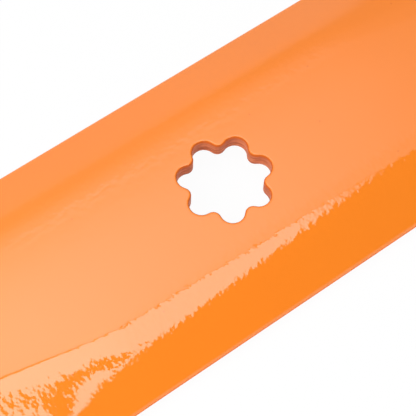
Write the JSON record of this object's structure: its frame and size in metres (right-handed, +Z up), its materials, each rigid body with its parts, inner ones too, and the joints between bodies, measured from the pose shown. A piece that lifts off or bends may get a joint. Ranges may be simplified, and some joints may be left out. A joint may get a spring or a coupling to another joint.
{
  "type": "rotary mower blade",
  "caption": "Pressed steel mower blade with turned-down edges at the hub, ground leading edges, raised lift wings at the tips and a star-shaped centre hole.",
  "frame": {"origin": "on the surface that the blade lies on, straight under the axis of the star hole", "axes": "+X along the blade towards one tip, +Z up along the hole's axis, the lift wings raised towards +Z"},
  "size_m": [0.533, 0.0656, 0.021],
  "materials": {
    "orange_coat": "glossy orange powder coat with a slight orange-peel ripple, thin on the punched wall of the hole"
  },
  "bodies": {
    "root": {"blade": "orange_coat"}
  },
  "joints": []
}
